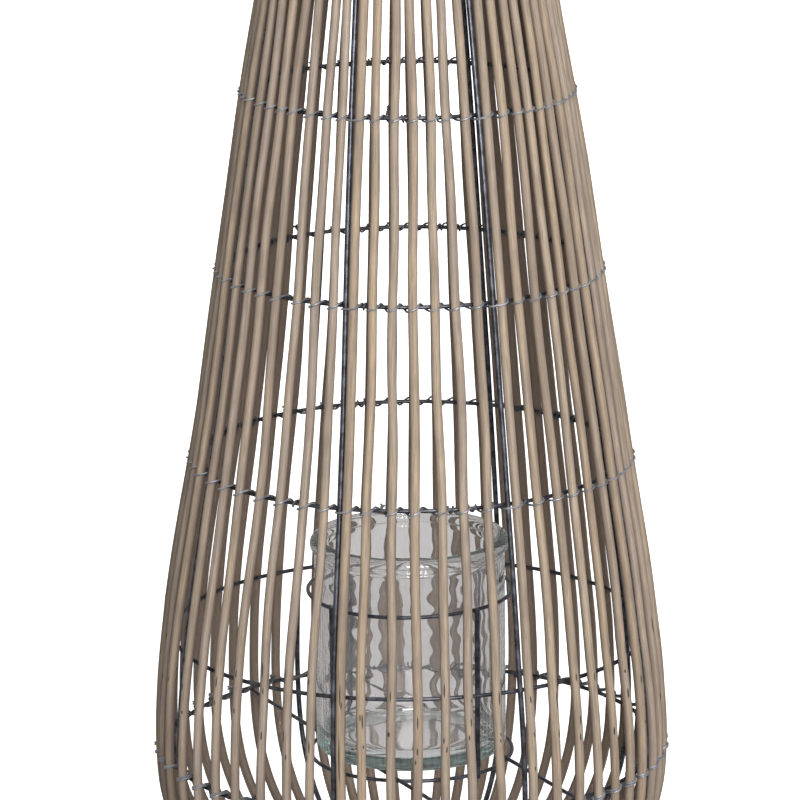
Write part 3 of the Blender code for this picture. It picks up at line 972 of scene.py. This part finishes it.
def make_glass(material):
    """The candle pot: thick walls with a wavy inside, a rolled rim and a heavy floor."""
    low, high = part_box("glass_insert")
    centre_x = (low.x + high.x) / 2
    rim = (high.y - low.y) / 2
    inner = rim - GLASS_INSET - GLASS_WALL
    section = glass_section(low.z, high.z, rim)
    azimuth = np.arange(GLASS_STEPS) * 2 * math.pi / GLASS_STEPS
    points = []
    for radius, height in section[1:-1]:
        inside = radius <= inner + 1e-6 and height > low.z + GLASS_FLOOR
        size = INNER_WAVE if inside else OUTER_WAVE
        # The waves die out towards the floor and the rim.
        above_floor = (height - low.z - 0.012) / 0.02
        below_rim = (high.z - 0.012 - height) / 0.01
        share = min(1.0, max(0.0, above_floor), max(0.0, below_rim))
        own = radius + size * share * glass_wave(azimuth, (height - low.z) * 42.0)
        points.append(polar(own, azimuth, height))
    rows = len(points)
    points = np.concatenate([*points, [[0, 0, section[0][1]]], [[0, 0, section[-1][1]]]])
    points[:, 0] += centre_x
    faces = [tuple(reversed(face)) for face in ring_faces(rows, GLASS_STEPS, closed=False)]
    top, bottom = rows * GLASS_STEPS, rows * GLASS_STEPS + 1
    last = (rows - 1) * GLASS_STEPS
    for step in range(GLASS_STEPS):
        after = (step + 1) % GLASS_STEPS
        faces.append((step, after, top))
        faces.append((last + after, last + step, bottom))
    pile = Pile()
    pile.add(points, faces, points, 0.5, 0.0)
    pot = pile.build("glass_pot", material, "glass", ["glass_insert"], sharp=80.0)
    pot.visible_shadow = False


# --- Handle ---
def rounded_path(corners, bends, steps=8):
    """A path through corners with each inner corner rounded."""
    points = [corners[0]]
    for before, corner, after, bend in zip(corners, corners[1:], corners[2:], bends):
        start = corner + unit(before - corner) * bend
        end = corner + unit(after - corner) * bend
        for share in np.linspace(0.0, 1.0, steps + 1):
            points.append((1 - share) ** 2 * start + 2 * share * (1 - share) * corner + share**2 * end)
    points.append(corners[-1])
    return np.array(points)


def make_handle(material):
    """The folding bail and the two eyes that it turns in."""
    hinge = next(joint for joint in frame["joints"] if joint["name"] == "bail_hinge")
    pivot = hinge["pos_m"][2]
    low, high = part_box("bail")
    centre_x = (low.x + high.x) / 2
    bar = np.array([0.0, high.y - BAIL_RADIUS, low.z + BAIL_RADIUS - pivot])
    half_width = (high.x - low.x) / 2 - BAIL_RADIUS
    eye_low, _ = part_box("eyelet_2")
    pin_end = eye_low.x - centre_x - 0.0026
    corners = [
        np.array([pin_end, 0.0, pivot]),
        np.array([half_width, 0.0, pivot]),
        np.array([half_width, 0.0, pivot]) + bar,
    ]
    corners += [corner * np.array([-1.0, 1.0, 1.0]) for corner in reversed(corners)]
    path = rounded_path(corners, (0.004, 0.012, 0.012, 0.004))
    steps = np.linalg.norm(np.diff(path, axis=0), axis=1)
    length = np.concatenate([[0.0], np.cumsum(steps)])
    even = np.linspace(0.0, length[-1], 160)
    path = np.stack([np.interp(even, length, path[:, axis]) for axis in range(3)], axis=1)
    pile = Pile()
    pile.tube(path + np.array([centre_x, 0.0, 0.0]), BAIL_RADIUS, WIRE_SIDES + 4, tone=0.35)
    generator = np.random.default_rng(SEED + 5)
    for side in (-1.0, 1.0):
        place = np.array([centre_x + side * pin_end, 0.0, pivot])
        pile.lump(place, (0.0021, 0.0021, 0.0009), (1.0, 0.0, 0.0), generator)
    pile.build("carrying_bail", material, "handle", ["bail"])

    for number in (1, 2):
        low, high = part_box(f"eyelet_{number}")
        x = (low.x + high.x) / 2
        wire = 0.0011
        half = (high.y - low.y) / 2 - wire
        top, bottom = high.z - wire - half, low.z + wire + half
        outline = [(half * math.cos(t), top + half * math.sin(t)) for t in np.linspace(0, math.pi, 16)]
        outline += [(half * math.cos(t), bottom + half * math.sin(t))
                    for t in np.linspace(math.pi, 2 * math.pi, 16)]
        path = [(x, y, z) for y, z in outline]
        make_wire(f"handle_eyelet_{number}", f"eyelet_{number}", path, wire, material, 0.6,
                  closed=True, first_normal=(1.0, 0.0, 0.0))


# --- Stage, lights and camera ---
def stage_piece(piece, name, base, glow, strength):
    """Names a piece of the stage and gives it a dull material that glows evenly."""
    piece.name = name
    nodes = Nodes(name)
    nodes.shader.inputs["Base Color"].default_value = (base, base, base, 1.0)
    nodes.shader.inputs["Roughness"].default_value = 1.0
    nodes.shader.inputs["Specular IOR Level"].default_value = 0.0
    nodes.shader.inputs["Emission Color"].default_value = (*glow, 1.0)
    nodes.shader.inputs["Emission Strength"].default_value = strength
    piece.data.materials.append(nodes.material)
    piece.visible_diffuse = False


def make_floor():
    """A plain white floor that runs out of view. Only the camera sees it, so it lights nothing."""
    bpy.ops.mesh.primitive_circle_add(vertices=96, radius=STAGE_RADIUS, fill_type="NGON")
    floor = bpy.context.object
    stage_piece(floor, "studio_floor", 0.60, (1.0, 1.0, 1.0), 0.97)
    floor.visible_glossy = False
    floor.visible_transmission = False


def make_surround():
    """A grey studio all round, seen only through the glass."""
    bpy.ops.mesh.primitive_uv_sphere_add(segments=48, ring_count=24, radius=STAGE_RADIUS - 1.0)
    surround = bpy.context.object
    stage_piece(surround, "studio_surround", 0.0, (1.0, 0.975, 0.98), SURROUND)
    surround.visible_camera = False
    surround.visible_shadow = False


def make_world():
    """A little even light from all round."""
    world = bpy.data.worlds.new("studio")
    bpy.context.scene.world = world
    world.use_nodes = True
    background = world.node_tree.nodes["Background"]
    background.inputs["Color"].default_value = (1.0, 1.0, 1.0, 1.0)
    background.inputs["Strength"].default_value = AMBIENT


def area_light(name, place, target, size, power):
    """A soft box that faces a target."""
    light = bpy.data.lights.new(name, "AREA")
    light.shape = "RECTANGLE"
    light.size, light.size_y = size
    light.energy = power
    made = bpy.data.objects.new(name, light)
    bpy.context.scene.collection.objects.link(made)
    made.location = place
    made.rotation_euler = (Vector(target) - Vector(place)).to_track_quat("-Z", "Y").to_euler()


def make_lights():
    """A key from the front, weak fills from both sides and above, and one that lights the back."""
    for name, azimuth, elevation, distance, size, power in LIGHTS:
        turn, rise = math.radians(azimuth), math.radians(elevation)
        place = Vector((math.sin(turn) * math.cos(rise), -math.cos(turn) * math.cos(rise), math.sin(rise)))
        area_light(name, LIGHT_TARGET + place * distance, LIGHT_TARGET, size, power)
    # The light behind the lantern is not seen through the pot.
    bpy.data.objects["back"].visible_transmission = False
    bpy.data.objects["back"].visible_glossy = False


def make_camera():
    """A long lens, looking down a little at the lower part of the lantern."""
    camera = bpy.data.cameras.new("camera")
    camera.sensor_width = 36.0
    camera.lens = CAMERA_LENS
    made = bpy.data.objects.new("camera", camera)
    bpy.context.scene.collection.objects.link(made)
    away = Vector((0.0, -math.cos(CAMERA_PITCH), math.sin(CAMERA_PITCH)))
    made.location = CAMERA_TARGET + CAMERA_DISTANCE * away
    turn = Matrix.Rotation(math.pi / 2 - CAMERA_PITCH, 4, "X") @ Matrix.Rotation(CAMERA_ROLL, 4, "Z")
    made.rotation_euler = turn.to_euler()
    camera.clip_end = 200.0
    bpy.context.scene.camera = made


def main():
    """Builds the pieces round the frame, then the stage."""
    cane = cane_material()
    steel = wire_material("frame_wire", (0.030, 0.031, 0.038), (0.085, 0.090, 0.110), 0.60, 0.26, 0.38)
    tying = wire_material("tying_wire", (0.17, 0.175, 0.19), (0.30, 0.31, 0.33), 0.45, 0.42, 0.56)
    canes = make_cane_list()
    make_canes(canes, cane)
    make_uprights(steel)
    make_hoops(steel)
    make_foot_ring(steel)
    make_holder(steel)
    make_welds(steel)
    for index, row in enumerate(TIED_ROWS):
        make_tied_row(row, canes, tying, index)
    make_foot_lashing(canes, tying)
    make_glass(glass_material())
    make_handle(steel)
    make_floor()
    make_surround()
    make_world()
    make_lights()
    make_camera()
    bpy.context.scene.view_settings.view_transform = "Standard"
    bpy.context.scene.cycles.glossy_bounces = GLOSSY_BOUNCES


main()
